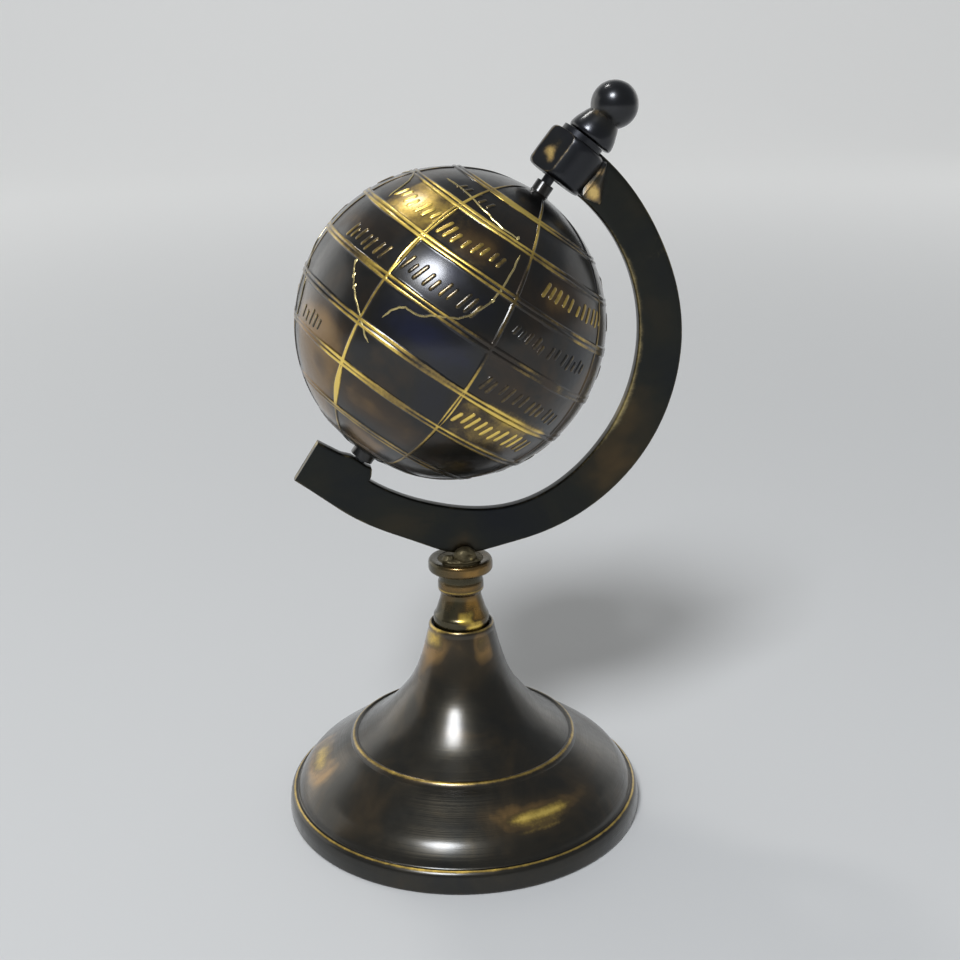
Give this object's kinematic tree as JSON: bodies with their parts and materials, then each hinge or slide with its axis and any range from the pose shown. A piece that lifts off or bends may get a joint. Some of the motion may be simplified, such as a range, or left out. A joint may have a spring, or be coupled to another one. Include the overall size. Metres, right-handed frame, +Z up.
{
  "type": "desk globe",
  "caption": "Small antiqued brass desk globe with a raised graticule, turning in a bent flat C-arm on a turned bell-shaped foot.",
  "frame": {"origin": "centre of the foot's underside, on the axis of the turned foot", "axes": "+Z up along the foot's axis; the flat arm lies in the XZ plane and the globe's axis leans towards +X; -Y is the front"},
  "size_m": [0.1048, 0.0948, 0.1886],
  "materials": {
    "base_brass": "dark antique patina under gloss lacquer, rubbed to gold on the bead lines",
    "spool_brass": "dark antique patina with gold wear on the flared foot",
    "arm_brass": "greenish dark grey satin patina, worn bright along the inner edge",
    "solder": "dull crumpled solder",
    "finial_brass": "near-black gloss patina",
    "globe_brass": "near-black patina with raised lines rubbed to gold"
  },
  "bodies": {
    "stand": {"base": "base_brass", "stem_spool": "spool_brass", "arm": "arm_brass", "solder_joint": "solder", "finial_screw": "finial_brass"},
    "globe": {"globe": "globe_brass"}
  },
  "joints": [
    {"name": "globe_spin", "type": "hinge", "parent": "stand", "child": "globe", "pos_m": [-0.0013, 0, 0.1314], "axis": [0.5793, 0, 0.8151], "continuous": true}
  ]
}
